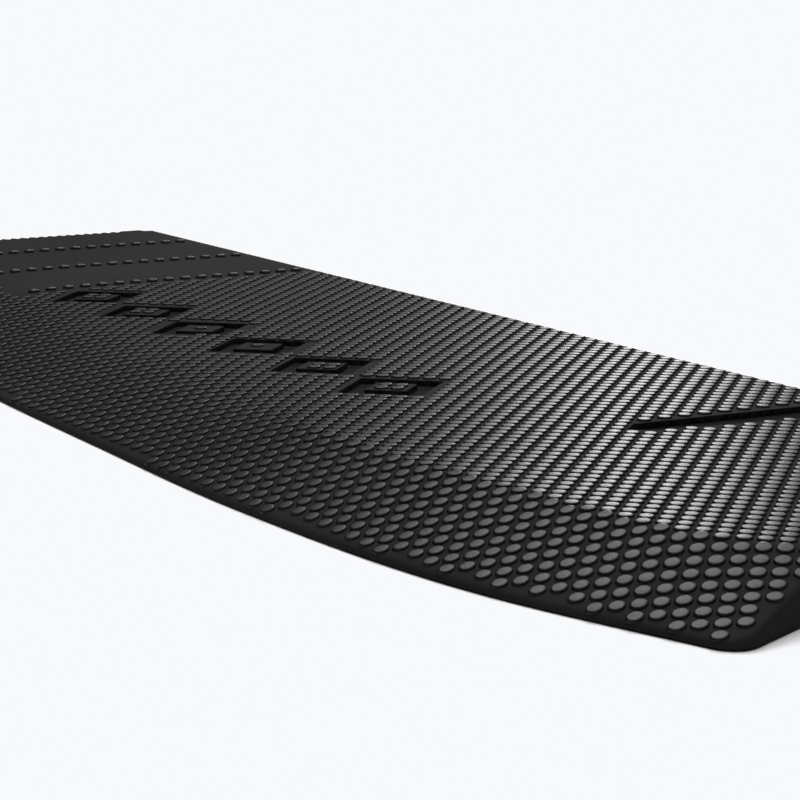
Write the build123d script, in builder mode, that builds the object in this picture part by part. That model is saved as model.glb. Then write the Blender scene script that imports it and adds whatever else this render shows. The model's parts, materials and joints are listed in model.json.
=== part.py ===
"""Twin-tip kiteboard with two strapless footpads.

Frame: +X along the board, +Y towards the heel rail, +Z up.  The origin is on the floor
under the middle of the board, which stands on its four fins.  Sizes are in millimetres.
"""

import math
import os

from build123d import *

# ---------------------------------------------------------------- driving dimensions

# Board
BOARD_LENGTH = 1380.0
BOARD_WIDTH = 420.0
TIP_CORNER_X = 660.0
TIP_CORNER_Y = 162.0
TIP_CORNER_RADIUS = 75.0
FLAT_HALF = 365.0
ROCKER_RADIUS = 1409.0
UNDERSIDE_Z = 26.0
LAMINATE = 1.0
CORE = 7.0
RAIL_WIDTH = 8.0

# Fins, one at each corner
FIN_X = 575.0
FIN_Y = 146.0
FIN_BASE = 104.0
FIN_THICKNESS = 7.0
FIN_SCREW_PITCH = 56.0

# Fasteners: M6 throughout
THREAD_RADIUS = 2.5
SHANK_RADIUS = 2.45
INSERT_RADIUS = 6.0
INSERT_DEPTH = 6.5
INSERT_FLOOR = 0.8
HOLE_RADIUS = 3.2

# Handle
HANDLE_SCREW_X = 92.0
HANDLE_HEIGHT = 36.0
HANDLE_THICKNESS = 9.0
HANDLE_WIDTH = 30.0
HANDLE_FOOT = 38.0
SPARE_INSERT_X = 140.0

# Bindings
STANCE_HALF = 280.0
INSERT_ROW_PITCH = 25.0
DUCK_ANGLE = 9.0
PAD_HEIGHT = 7.9
PAD_EDGE = 1.0
PAD_CLEARANCE = 0.3
PLATE_THICKNESS = 4.0
PLATE_SIZE = (64.0, 212.0)
PLATE_CENTRE = (7.0, -14.0)
SLOT_RADIUS = 80.0
SLOT_SWEEP = 13.0
SLOT_WIDTH = 6.8
WASHER_RADIUS = 9.0
STUD_RADIUS = 3.0
STUD_PLACES = [(-14.0, -101.0), (28.0, -101.0), (-14.0, 58.0), (28.0, 58.0)]
CUSHION_SIZE = (52.0, 44.0, 4.4)
CUSHION_CENTRE = (10.0, 125.0)

# Pad outline, in the pad's own plane: +X inboard, +Y towards the heel
PAD_HEEL_FOOT_Y = 168.5
PAD_HEEL_TOP_Y = 164.4
PAD_INNER_FOOT_X = 55.1
PAD_INNER_TOP_X = 45.0
PAD_OUTER_FOOT = [(-36.6, 168.5), (-51.2, 17.3), (-53.5, -75.2), (-48.6, -128.2), (-38.1, -163.1)]
PAD_OUTER_RIDGE = [(-12.6, 164.4), (-22.7, 54.0), (-36.0, -72.0), (-32.2, -116.0), (-16.5, -153.6)]
PAD_TOE_INNER = (55.1, -122.1)

# ---------------------------------------------------------------- derived sizes

DECK_Z = UNDERSIDE_Z + 2 * LAMINATE + CORE
ROCKER_CENTRE_Z = UNDERSIDE_Z + ROCKER_RADIUS
CORE_Z = UNDERSIDE_Z + LAMINATE
TOE_SLOPE = (PAD_TOE_INNER[1] - PAD_OUTER_FOOT[-1][1]) / (PAD_TOE_INNER[0] - PAD_OUTER_FOOT[-1][0])
PROFILE_HALF = 740.0
CUT_REACH = 780.0

BINDING_PLANE = Plane(
    origin=(-STANCE_HALF, 0, DECK_Z),
    x_dir=(math.cos(math.radians(DUCK_ANGLE)), -math.sin(math.radians(DUCK_ANGLE)), 0),
    z_dir=(0, 0, 1),
)

os.makedirs("parts", exist_ok=True)


def toe_y(x):
    """Y of the straight, slanted toe edge at a given X in the pad's plane."""
    return PAD_OUTER_FOOT[-1][1] + TOE_SLOPE * (x - PAD_OUTER_FOOT[-1][0])


def rocker_point(x, height):
    """Point on the layer boundary that lies `height` above the underside, at station x."""
    if abs(x) <= FLAT_HALF:
        return (x, UNDERSIDE_Z + height)
    radius = ROCKER_RADIUS - height
    run = abs(x) - FLAT_HALF
    return (x, ROCKER_CENTRE_Z - math.sqrt(radius ** 2 - run ** 2))


def rocker_plane(x, y, height):
    """Plane tangent to the layer boundary at (x, y), with its normal pointing up."""
    angle = 0.0
    if abs(x) > FLAT_HALF:
        angle = math.copysign(math.asin((abs(x) - FLAT_HALF) / ROCKER_RADIUS), x)
    radius = ROCKER_RADIUS - height
    centre_x = math.copysign(FLAT_HALF, x) if abs(x) > FLAT_HALF else x
    return Plane(
        origin=(centre_x + radius * math.sin(angle), y, ROCKER_CENTRE_Z - radius * math.cos(angle)),
        x_dir=(math.cos(angle), 0, math.sin(angle)),
        z_dir=(-math.sin(angle), 0, math.cos(angle)),
    )


def boundary_curve(height):
    """The rockered line of one layer boundary, from tip to tip, for use inside a BuildLine."""
    middle = (PROFILE_HALF + FLAT_HALF) / 2
    left_end, right_end = rocker_point(-PROFILE_HALF, height), rocker_point(PROFILE_HALF, height)
    left_flat, right_flat = rocker_point(-FLAT_HALF, height), rocker_point(FLAT_HALF, height)
    ThreePointArc(left_end, rocker_point(-middle, height), left_flat)
    Line(left_flat, right_flat)
    ThreePointArc(right_flat, rocker_point(middle, height), right_end)


def layer_profile(low, high):
    """Side view of one layer of the board, between two heights above the underside."""
    with BuildSketch() as profile:
        with BuildLine():
            boundary_curve(low)
            boundary_curve(high)
            Line(rocker_point(-PROFILE_HALF, low), rocker_point(-PROFILE_HALF, high))
            Line(rocker_point(PROFILE_HALF, low), rocker_point(PROFILE_HALF, high))
        make_face()
    return profile.sketch


def board_outline(inset):
    """Plan view of the board, drawn in by an inset from the rail."""
    half_length = BOARD_LENGTH / 2 - inset
    half_width = BOARD_WIDTH / 2 - inset
    corner_x = TIP_CORNER_X - inset
    corner_y = TIP_CORNER_Y - inset
    with BuildSketch() as outline:
        with BuildLine():
            ThreePointArc((-corner_x, corner_y), (0, half_width), (corner_x, corner_y))
            ThreePointArc((corner_x, corner_y), (half_length, 0), (corner_x, -corner_y))
            ThreePointArc((corner_x, -corner_y), (0, -half_width), (-corner_x, -corner_y))
            ThreePointArc((-corner_x, -corner_y), (-half_length, 0), (-corner_x, corner_y))
        make_face()
        fillet(outline.vertices(), radius=TIP_CORNER_RADIUS - inset)
    return outline.sketch


def save(part, label):
    """Name a finished piece and write it to its own file."""
    part.label = label
    export_step(part, f"parts/{label}.step")


# ---------------------------------------------------------------- hole positions

SLOT_PLACES = [(0.0, -SLOT_RADIUS), (0.0, SLOT_RADIUS)]
STANCE_ROWS = [
    BINDING_PLANE.from_local_coords(Vector(dx, dy, 0))
    for dx in (-INSERT_ROW_PITCH, 0.0, INSERT_ROW_PITCH)
    for dy in (-SLOT_RADIUS, SLOT_RADIUS)
]
STANCE_XY = [(side * row.X, row.Y) for side in (1, -1) for row in STANCE_ROWS]
HANDLE_XY = [(-HANDLE_SCREW_X, 0), (HANDLE_SCREW_X, 0), (-SPARE_INSERT_X, 0), (SPARE_INSERT_X, 0)]
FIN_SCREW_STATIONS = [
    (side * (FIN_X + step * FIN_SCREW_PITCH / 2), y)
    for side in (1, -1)
    for step in (1, -1)
    for y in (FIN_Y, -FIN_Y)
]
HANDLE_BLOCK = (330.0, 44.0)
STANCE_BLOCK = (104.0, 200.0)
BLOCK_CORNER = 8.0


def stance_block_sketch(side):
    """Plan of the dense block that holds one binding's inserts."""
    plane = Plane(
        origin=(side * -STANCE_HALF, 0, CORE_Z),
        x_dir=(math.cos(math.radians(DUCK_ANGLE)), -side * math.sin(math.radians(DUCK_ANGLE)), 0),
        z_dir=(0, 0, 1),
    )
    with BuildSketch(plane) as block:
        RectangleRounded(*STANCE_BLOCK, BLOCK_CORNER)
    return block.sketch


# ---------------------------------------------------------------- board shell and core

FERRULE_RADIUS = 6.0
FIN_WASHER_THICKNESS = 1.6

with BuildPart() as base_laminate:
    with BuildSketch(Plane.XZ):
        add(layer_profile(0, LAMINATE))
    extrude(amount=BOARD_WIDTH, both=True)
    with BuildSketch():
        add(board_outline(0))
    extrude(amount=CUT_REACH, mode=Mode.INTERSECT)
    for x, y in FIN_SCREW_STATIONS:
        with BuildSketch(rocker_plane(x, y, 0)):
            Circle(FERRULE_RADIUS)
        extrude(amount=3 * LAMINATE, both=True, mode=Mode.SUBTRACT)
save(base_laminate.part, "base_laminate")

with BuildPart() as top_laminate:
    with BuildSketch(Plane.XZ):
        add(layer_profile(LAMINATE + CORE, 2 * LAMINATE + CORE))
    extrude(amount=BOARD_WIDTH, both=True)
    with BuildSketch():
        add(board_outline(0))
    extrude(amount=CUT_REACH, mode=Mode.INTERSECT)
    for x, y in FIN_SCREW_STATIONS:
        with BuildSketch(rocker_plane(x, y, LAMINATE + CORE)):
            Circle(FERRULE_RADIUS)
        extrude(amount=3 * LAMINATE, both=True, mode=Mode.SUBTRACT)
    with BuildSketch(Plane.XY.offset(DECK_Z)):
        with Locations(STANCE_XY + HANDLE_XY):
            Circle(INSERT_RADIUS)
    extrude(amount=-3 * LAMINATE, mode=Mode.SUBTRACT)
save(top_laminate.part, "top_laminate")

with BuildPart() as sidewall:
    with BuildSketch(Plane.XZ):
        add(layer_profile(LAMINATE, LAMINATE + CORE))
    extrude(amount=BOARD_WIDTH, both=True)
    with BuildSketch():
        add(board_outline(0))
        add(board_outline(RAIL_WIDTH), mode=Mode.SUBTRACT)
    extrude(amount=CUT_REACH, mode=Mode.INTERSECT)
save(sidewall.part, "sidewall")

with BuildPart() as core:
    with BuildSketch(Plane.XZ):
        add(layer_profile(LAMINATE, LAMINATE + CORE))
    extrude(amount=BOARD_WIDTH, both=True)
    with BuildSketch():
        add(board_outline(RAIL_WIDTH))
    extrude(amount=CUT_REACH, mode=Mode.INTERSECT)
    for side in (1, -1):
        add(stance_block_sketch(side))
        extrude(amount=CORE, mode=Mode.SUBTRACT)
    with BuildSketch(Plane.XY.offset(CORE_Z)):
        RectangleRounded(*HANDLE_BLOCK, BLOCK_CORNER)
    extrude(amount=CORE, mode=Mode.SUBTRACT)
    for x, y in FIN_SCREW_STATIONS:
        with BuildSketch(rocker_plane(x, y, CORE / 2)):
            Circle(FERRULE_RADIUS)
        extrude(amount=CORE, both=True, mode=Mode.SUBTRACT)
save(core.part, "core")

with BuildPart() as insert_blocks:
    for side in (1, -1):
        add(stance_block_sketch(side))
    with BuildSketch(Plane.XY.offset(CORE_Z)):
        RectangleRounded(*HANDLE_BLOCK, BLOCK_CORNER)
    extrude(amount=CORE)
    with BuildSketch(Plane.XY.offset(DECK_Z)):
        with Locations(STANCE_XY + HANDLE_XY):
            Circle(INSERT_RADIUS)
    extrude(amount=-INSERT_DEPTH, mode=Mode.SUBTRACT)
save(insert_blocks.part, "insert_blocks")


def threaded_inserts(places):
    """Blind brass M6 inserts, flush with the deck."""
    with BuildPart() as inserts:
        with BuildSketch(Plane.XY.offset(DECK_Z)):
            with Locations(places):
                Circle(INSERT_RADIUS)
        extrude(amount=-INSERT_DEPTH)
        with BuildSketch(Plane.XY.offset(DECK_Z)):
            with Locations(places):
                Circle(THREAD_RADIUS)
        extrude(amount=INSERT_FLOOR - INSERT_DEPTH, mode=Mode.SUBTRACT)
    return inserts.part


save(threaded_inserts(STANCE_XY), "stance_inserts")
save(threaded_inserts(HANDLE_XY), "handle_inserts")

# ---------------------------------------------------------------- fins and their fasteners

FIN_TOP_BACK = FIN_X - FIN_BASE / 2
FIN_TOP_FRONT = FIN_X + FIN_BASE / 2
FERRULE_LENGTH = CORE + 2 * LAMINATE - FIN_WASHER_THICKNESS
FERRULE_RISE = 0.05
FIN_INSERT_DEPTH = 14.0
FIN_INSERT_RADIUS = 2.9
FIN_THREAD_RADIUS = 2.0
FIN_SHANK_RADIUS = 1.95
FIN_FRONT_BULGE = (-1.0, 28.0)
FIN_TIP_FRONT = (-8.0, 5.0)
FIN_TIP_MIDDLE = (-22.0, 0.6)
FIN_TIP_BACK = (-46.0, 0.0)
FIN_TRAILING_MIDDLE = (-70.0, 16.0)


def fin_point(side, offset):
    """Point of a fin's outline, measured from the upper front corner; Z is above the floor."""
    return (side * (FIN_TOP_FRONT + offset[0]), offset[1])


def fin_blade(side, y):
    """One swept fin, its top edge bent to the rocker of the underside."""
    back = rocker_point(side * FIN_TOP_BACK, 0)
    middle = rocker_point(side * FIN_X, 0)
    front = rocker_point(side * FIN_TOP_FRONT, 0)
    tip_front = fin_point(side, FIN_TIP_FRONT)
    tip_back = fin_point(side, FIN_TIP_BACK)
    with BuildPart() as fin:
        with BuildSketch(Plane.XZ.offset(-y)):
            with BuildLine():
                ThreePointArc(back, middle, front)
                ThreePointArc(front, fin_point(side, FIN_FRONT_BULGE), tip_front)
                ThreePointArc(tip_front, fin_point(side, FIN_TIP_MIDDLE), tip_back)
                ThreePointArc(tip_back, fin_point(side, FIN_TRAILING_MIDDLE), back)
            make_face()
        extrude(amount=FIN_THICKNESS / 2, both=True)
        for x, screw_y in FIN_SCREW_STATIONS:
            if x * side > 0 and screw_y == y:
                with BuildSketch(rocker_plane(x, y, 0)):
                    Circle(FIN_INSERT_RADIUS)
                extrude(amount=-FIN_INSERT_DEPTH, mode=Mode.SUBTRACT)
    return fin.part


for side, end_name in ((-1, "left"), (1, "right")):
    for y, rail_name in ((FIN_Y, "heel"), (-FIN_Y, "toe")):
        save(fin_blade(side, y), f"fin_{end_name}_{rail_name}")

with BuildPart() as fin_inserts:
    for x, y in FIN_SCREW_STATIONS:
        with BuildSketch(rocker_plane(x, y, 0)):
            Circle(FIN_INSERT_RADIUS)
            Circle(FIN_THREAD_RADIUS, mode=Mode.SUBTRACT)
        extrude(amount=-FIN_INSERT_DEPTH)
save(fin_inserts.part, "fin_inserts")

with BuildPart() as fin_ferrules:
    for x, y in FIN_SCREW_STATIONS:
        with BuildSketch(rocker_plane(x, y, FERRULE_RISE)):
            Circle(FERRULE_RADIUS)
            Circle(FIN_INSERT_RADIUS, mode=Mode.SUBTRACT)
        extrude(amount=FERRULE_LENGTH - FERRULE_RISE)
save(fin_ferrules.part, "fin_ferrules")

with BuildPart() as fin_washers:
    for x, y in FIN_SCREW_STATIONS:
        with BuildSketch(rocker_plane(x, y, FERRULE_LENGTH)):
            Circle(FERRULE_RADIUS)
            Circle(FIN_INSERT_RADIUS, mode=Mode.SUBTRACT)
        extrude(amount=FIN_WASHER_THICKNESS)
save(fin_washers.part, "fin_washers")

FIN_HEAD_RADIUS = 4.6
FIN_HEAD_HEIGHT = 2.2
FIN_HEAD_TAPER = 12.0
FIN_SOCKET_RADIUS = 1.9
FIN_SOCKET_DEPTH = 1.4
FIN_SCREW_REACH = 11.0

with BuildPart() as fin_screws:
    for x, y in FIN_SCREW_STATIONS:
        seat = rocker_plane(x, y, FERRULE_LENGTH + FIN_WASHER_THICKNESS)
        with BuildSketch(seat):
            Circle(FIN_SHANK_RADIUS)
        extrude(amount=-(FERRULE_LENGTH + FIN_WASHER_THICKNESS + FIN_SCREW_REACH))
        with BuildSketch(seat):
            Circle(FIN_HEAD_RADIUS)
        extrude(amount=FIN_HEAD_HEIGHT, taper=FIN_HEAD_TAPER)
        with BuildSketch(seat.offset(FIN_HEAD_HEIGHT)):
            RegularPolygon(FIN_SOCKET_RADIUS, 6)
        extrude(amount=-FIN_SOCKET_DEPTH, mode=Mode.SUBTRACT)
save(fin_screws.part, "fin_screws")

# ---------------------------------------------------------------- grab handle

HANDLE_OUTER_X = HANDLE_SCREW_X + HANDLE_FOOT / 2
HANDLE_FOOT_HEIGHT = 6.0
HANDLE_ARCH_X = HANDLE_SCREW_X - HANDLE_FOOT / 2
HANDLE_ROOT = 4.0
HANDLE_SHOULDER_X = 44.0
HANDLE_SHOULDER_DROP = 3.0
HANDLE_GRIP_X = 40.0
HANDLE_GRIP_DROP = 4.0
COUNTERBORE_RADIUS = 8.2
COUNTERBORE_DEPTH = 3.4
HANDLE_FOOT_Z = DECK_Z + HANDLE_FOOT_HEIGHT
HANDLE_TOP_Z = DECK_Z + HANDLE_HEIGHT
HANDLE_UNDER_Z = HANDLE_TOP_Z - HANDLE_THICKNESS

with BuildPart() as grab_handle:
    with BuildSketch(Plane.XZ):
        with BuildLine():
            Line((-HANDLE_OUTER_X, DECK_Z), (-HANDLE_OUTER_X, HANDLE_FOOT_Z))
            Line((-HANDLE_OUTER_X, HANDLE_FOOT_Z), (-HANDLE_ARCH_X - HANDLE_ROOT, HANDLE_FOOT_Z))
            Spline(
                (-HANDLE_ARCH_X - HANDLE_ROOT, HANDLE_FOOT_Z),
                (-HANDLE_SHOULDER_X, HANDLE_TOP_Z - HANDLE_SHOULDER_DROP),
                (0, HANDLE_TOP_Z),
                (HANDLE_SHOULDER_X, HANDLE_TOP_Z - HANDLE_SHOULDER_DROP),
                (HANDLE_ARCH_X + HANDLE_ROOT, HANDLE_FOOT_Z),
            )
            Line((HANDLE_ARCH_X + HANDLE_ROOT, HANDLE_FOOT_Z), (HANDLE_OUTER_X, HANDLE_FOOT_Z))
            Line((HANDLE_OUTER_X, HANDLE_FOOT_Z), (HANDLE_OUTER_X, DECK_Z))
            Line((HANDLE_OUTER_X, DECK_Z), (HANDLE_ARCH_X - HANDLE_ROOT, DECK_Z))
            Spline(
                (HANDLE_ARCH_X - HANDLE_ROOT, DECK_Z),
                (HANDLE_GRIP_X, HANDLE_UNDER_Z - HANDLE_GRIP_DROP),
                (0, HANDLE_UNDER_Z),
                (-HANDLE_GRIP_X, HANDLE_UNDER_Z - HANDLE_GRIP_DROP),
                (-HANDLE_ARCH_X + HANDLE_ROOT, DECK_Z),
            )
            Line((-HANDLE_ARCH_X + HANDLE_ROOT, DECK_Z), (-HANDLE_OUTER_X, DECK_Z))
        make_face()
    extrude(amount=HANDLE_WIDTH / 2, both=True)
    with BuildSketch():
        SlotOverall(2 * HANDLE_OUTER_X, HANDLE_WIDTH)
    extrude(amount=CUT_REACH, mode=Mode.INTERSECT)
    with Locations((-HANDLE_SCREW_X, 0, HANDLE_FOOT_Z), (HANDLE_SCREW_X, 0, HANDLE_FOOT_Z)):
        CounterBoreHole(HOLE_RADIUS, COUNTERBORE_RADIUS, COUNTERBORE_DEPTH)
save(grab_handle.part, "grab_handle")

HANDLE_SEAT_Z = HANDLE_FOOT_Z - COUNTERBORE_DEPTH
HANDLE_WASHER_THICKNESS = 1.2
HANDLE_WASHER_PLAY = 0.2

with BuildPart() as handle_washers:
    with BuildSketch(Plane.XY.offset(HANDLE_SEAT_Z)):
        with Locations(HANDLE_XY[:2]):
            Circle(COUNTERBORE_RADIUS - HANDLE_WASHER_PLAY)
            Circle(HOLE_RADIUS, mode=Mode.SUBTRACT)
    extrude(amount=HANDLE_WASHER_THICKNESS)
save(handle_washers.part, "handle_washers")


SCREW_HEAD_TAPER = 14.0
SOCKET_RADIUS = 2.3
SOCKET_SHARE = 0.6


def pan_head_screws(places, seat_z, head_radius, head_height, reach):
    """M6 screws with a domed head and a hexagon socket, seated at one height."""
    with BuildPart() as screws:
        with BuildSketch(Plane.XY.offset(seat_z)):
            with Locations(places):
                Circle(SHANK_RADIUS)
        extrude(amount=-reach)
        with BuildSketch(Plane.XY.offset(seat_z)):
            with Locations(places):
                Circle(head_radius)
        extrude(amount=head_height, taper=SCREW_HEAD_TAPER)
        with BuildSketch(Plane.XY.offset(seat_z + head_height)):
            with Locations(places):
                RegularPolygon(SOCKET_RADIUS, 6)
        extrude(amount=-head_height * SOCKET_SHARE, mode=Mode.SUBTRACT)
    return screws.part


HANDLE_SCREW_SEAT = HANDLE_SEAT_Z + HANDLE_WASHER_THICKNESS
HANDLE_HEAD = (6.0, 3.4)
HANDLE_THREAD_REACH = 5.0
HANDLE_SCREW_REACH = HANDLE_SCREW_SEAT - DECK_Z + HANDLE_THREAD_REACH

save(pan_head_screws(HANDLE_XY[:2], HANDLE_SCREW_SEAT, *HANDLE_HEAD, HANDLE_SCREW_REACH), "handle_screws")

# ---------------------------------------------------------------- left binding

WASHER_THICKNESS = 1.2
WASHER_SEAT = 1.4
WASHER_RISE = 0.05
WASHER_HOLE_RADIUS = SHANK_RADIUS + 0.6
TOOTH_RADIUS = 0.5
TOOTH_COUNT = 24
BINDING_HEAD = (5.6, 1.5)
BINDING_SCREW_REACH = 7.6
SLOT_SEAT_WIDTH = 2 * WASHER_RADIUS + 0.8
PLATE_CORNER = 14.0
PLATE_CHAMFER = 0.6
WINDOW_SIZE = (36.0, 74.0)
WINDOW_CENTRE = (7.0, 0.0)
WINDOW_CORNER = 8.0
STUD_RISE = 1.9
STUD_CHAMFER = 0.4
STUD_PLAY = 0.08
STUD_SOCKET_DEPTH = 2.2
CUSHION_RISE = 0.2
CUSHION_CORNER = 9.0
CUSHION_ROUND = 1.0
POCKET_PLAY = 0.5
POCKET_ROOF_GAP = 0.4
CUSHION_POCKET_PLAY = 0.2
CUSHION_POCKET_GAP = 0.3


def place_on_binding(x, y, z):
    """Point of the left binding's own plane, in the board's frame."""
    return BINDING_PLANE.from_local_coords(Vector(x, y, z))


def arc_slots(width):
    """Two slots centred on the binding's pivot, one at each of its screws."""
    with BuildSketch() as slots:
        for middle in (-90.0, 90.0):
            SlotArc(CenterArc((0, 0), SLOT_RADIUS, middle - SLOT_SWEEP, 2 * SLOT_SWEEP), width)
    return slots.sketch


with BuildPart() as left_base_plate:
    with BuildSketch(BINDING_PLANE):
        with Locations(PLATE_CENTRE):
            RectangleRounded(*PLATE_SIZE, PLATE_CORNER)
    extrude(amount=PLATE_THICKNESS)
    chamfer(left_base_plate.faces().sort_by(Axis.Z)[-1].edges(), PLATE_CHAMFER)
    with BuildSketch(BINDING_PLANE):
        add(arc_slots(SLOT_WIDTH))
    extrude(amount=PLATE_THICKNESS, mode=Mode.SUBTRACT)
    with BuildSketch(BINDING_PLANE.offset(WASHER_SEAT)):
        add(arc_slots(SLOT_SEAT_WIDTH))
    extrude(amount=PLATE_THICKNESS, mode=Mode.SUBTRACT)
    with BuildSketch(BINDING_PLANE):
        with Locations(STUD_PLACES):
            Circle(STUD_RADIUS)
        with Locations(WINDOW_CENTRE):
            RectangleRounded(*WINDOW_SIZE, WINDOW_CORNER)
    extrude(amount=PLATE_THICKNESS, mode=Mode.SUBTRACT)

with BuildPart() as left_snap_studs:
    with BuildSketch(BINDING_PLANE):
        with Locations(STUD_PLACES):
            Circle(STUD_RADIUS)
    extrude(amount=PLATE_THICKNESS + STUD_RISE)
    chamfer(left_snap_studs.faces().sort_by(Axis.Z)[-4:].edges(), STUD_CHAMFER)

with BuildPart() as left_toothed_washers:
    with BuildSketch(BINDING_PLANE.offset(WASHER_SEAT + WASHER_RISE)):
        with Locations(SLOT_PLACES):
            Circle(WASHER_RADIUS)
            Circle(WASHER_HOLE_RADIUS, mode=Mode.SUBTRACT)
            with PolarLocations(WASHER_RADIUS, TOOTH_COUNT):
                Circle(TOOTH_RADIUS, mode=Mode.SUBTRACT)
    extrude(amount=WASHER_THICKNESS)

SCREW_PLACES = [(p.X, p.Y) for p in (place_on_binding(x, y, 0) for x, y in SLOT_PLACES)]
BINDING_SCREW_SEAT = DECK_Z + WASHER_SEAT + WASHER_RISE + WASHER_THICKNESS
left_screws = pan_head_screws(SCREW_PLACES, BINDING_SCREW_SEAT, *BINDING_HEAD, BINDING_SCREW_REACH)

with BuildPart() as left_heel_cushion:
    with BuildSketch(BINDING_PLANE.offset(PAD_CLEARANCE + CUSHION_RISE)):
        with Locations(CUSHION_CENTRE):
            RectangleRounded(CUSHION_SIZE[0], CUSHION_SIZE[1], CUSHION_CORNER)
    extrude(amount=CUSHION_SIZE[2])
    fillet(left_heel_cushion.faces().sort_by(Axis.Z)[-1].edges(), CUSHION_ROUND)


def pad_foot_sketch():
    """Plan of the pad where it meets the deck: a bowed outer side and a slanted toe."""
    heel_inner = (PAD_INNER_FOOT_X, PAD_HEEL_FOOT_Y)
    with BuildSketch() as foot:
        with BuildLine():
            Spline(*PAD_OUTER_FOOT)
            Line(PAD_OUTER_FOOT[-1], PAD_TOE_INNER)
            Line(PAD_TOE_INNER, heel_inner)
            Line(heel_inner, PAD_OUTER_FOOT[0])
        make_face()
    return foot.sketch


def pad_top_sketch():
    """Plan of the pad's flat top, inside the ridge."""
    toe_inner = (PAD_INNER_TOP_X, toe_y(PAD_INNER_TOP_X))
    heel_inner = (PAD_INNER_TOP_X, PAD_HEEL_TOP_Y)
    with BuildSketch() as top:
        with BuildLine():
            Spline(*PAD_OUTER_RIDGE)
            Line(PAD_OUTER_RIDGE[-1], toe_inner)
            Line(toe_inner, heel_inner)
            Line(heel_inner, PAD_OUTER_RIDGE[0])
        make_face()
    return top.sketch


with BuildPart() as left_footpad:
    with BuildSketch(BINDING_PLANE.offset(PAD_CLEARANCE)):
        add(pad_foot_sketch())
    extrude(amount=PAD_EDGE - PAD_CLEARANCE)
    with BuildSketch(BINDING_PLANE.offset(PAD_EDGE)):
        add(pad_foot_sketch())
    with BuildSketch(BINDING_PLANE.offset(PAD_HEIGHT)):
        add(pad_top_sketch())
    loft(ruled=True)
    with BuildSketch(BINDING_PLANE):
        with Locations(PLATE_CENTRE):
            RectangleRounded(
                PLATE_SIZE[0] + 2 * POCKET_PLAY,
                PLATE_SIZE[1] + 2 * POCKET_PLAY,
                PLATE_CORNER + POCKET_PLAY,
            )
    extrude(amount=PLATE_THICKNESS + POCKET_ROOF_GAP, mode=Mode.SUBTRACT)
    with BuildSketch(BINDING_PLANE.offset(PLATE_THICKNESS)):
        with Locations(STUD_PLACES):
            Circle(STUD_RADIUS + STUD_PLAY)
    extrude(amount=STUD_SOCKET_DEPTH, mode=Mode.SUBTRACT)
    with BuildSketch(BINDING_PLANE):
        with Locations(CUSHION_CENTRE):
            RectangleRounded(
                CUSHION_SIZE[0] + 2 * CUSHION_POCKET_PLAY,
                CUSHION_SIZE[1] + 2 * CUSHION_POCKET_PLAY,
                CUSHION_CORNER + CUSHION_POCKET_PLAY,
            )
    extrude(amount=CUSHION_SIZE[2] + PAD_CLEARANCE + CUSHION_POCKET_GAP, mode=Mode.SUBTRACT)

# ---------------------------------------------------------------- right binding, mirrored

BINDING_PIECES = {
    "base_plate": left_base_plate.part,
    "snap_studs": left_snap_studs.part,
    "toothed_washers": left_toothed_washers.part,
    "binding_screws": left_screws,
    "heel_cushion": left_heel_cushion.part,
    "footpad": left_footpad.part,
}

for piece_name, piece in BINDING_PIECES.items():
    save(mirror(piece, about=Plane.YZ), f"right_{piece_name}")
    save(piece, f"left_{piece_name}")
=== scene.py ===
"""A white twin-tip kiteboard with two black, dotted, strapless footpads, seen close to the left pad."""

import json
import math

import bpy
import numpy as np
from mathutils import Matrix, Vector
from mathutils.geometry import delaunay_2d_cdt


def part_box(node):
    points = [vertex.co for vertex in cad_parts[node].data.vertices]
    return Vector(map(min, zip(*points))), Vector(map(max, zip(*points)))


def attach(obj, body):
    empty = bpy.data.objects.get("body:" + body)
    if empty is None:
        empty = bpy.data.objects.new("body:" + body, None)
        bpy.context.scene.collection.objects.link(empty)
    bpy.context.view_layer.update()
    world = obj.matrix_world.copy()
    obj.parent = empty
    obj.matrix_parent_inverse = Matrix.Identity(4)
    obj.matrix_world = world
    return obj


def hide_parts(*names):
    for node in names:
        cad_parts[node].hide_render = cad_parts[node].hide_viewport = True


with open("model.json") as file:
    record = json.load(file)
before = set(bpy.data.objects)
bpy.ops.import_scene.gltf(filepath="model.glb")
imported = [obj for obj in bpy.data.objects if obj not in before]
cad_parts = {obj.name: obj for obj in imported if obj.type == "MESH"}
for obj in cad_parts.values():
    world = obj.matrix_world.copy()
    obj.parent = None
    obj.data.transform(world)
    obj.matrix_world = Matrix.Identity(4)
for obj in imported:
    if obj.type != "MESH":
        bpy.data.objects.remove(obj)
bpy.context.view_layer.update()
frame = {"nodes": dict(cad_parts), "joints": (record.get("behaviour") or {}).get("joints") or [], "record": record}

MM = 0.001

# ---------------------------------------------------------------- places taken from the frame

JOINTS = {joint["name"]: joint for joint in frame["joints"]}
LEFT_PIVOT = Vector(JOINTS["left_stance_angle"]["pos_m"])
RIGHT_PIVOT = Vector(JOINTS["right_stance_angle"]["pos_m"])
DUCK_ANGLE = math.radians(9.0)
SIDES = {"left": (LEFT_PIVOT, 1), "right": (RIGHT_PIVOT, -1)}

# ---------------------------------------------------------------- footpad, in its own plane
# Millimetres: x inboard, y towards the heel, z up from the deck.

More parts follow.
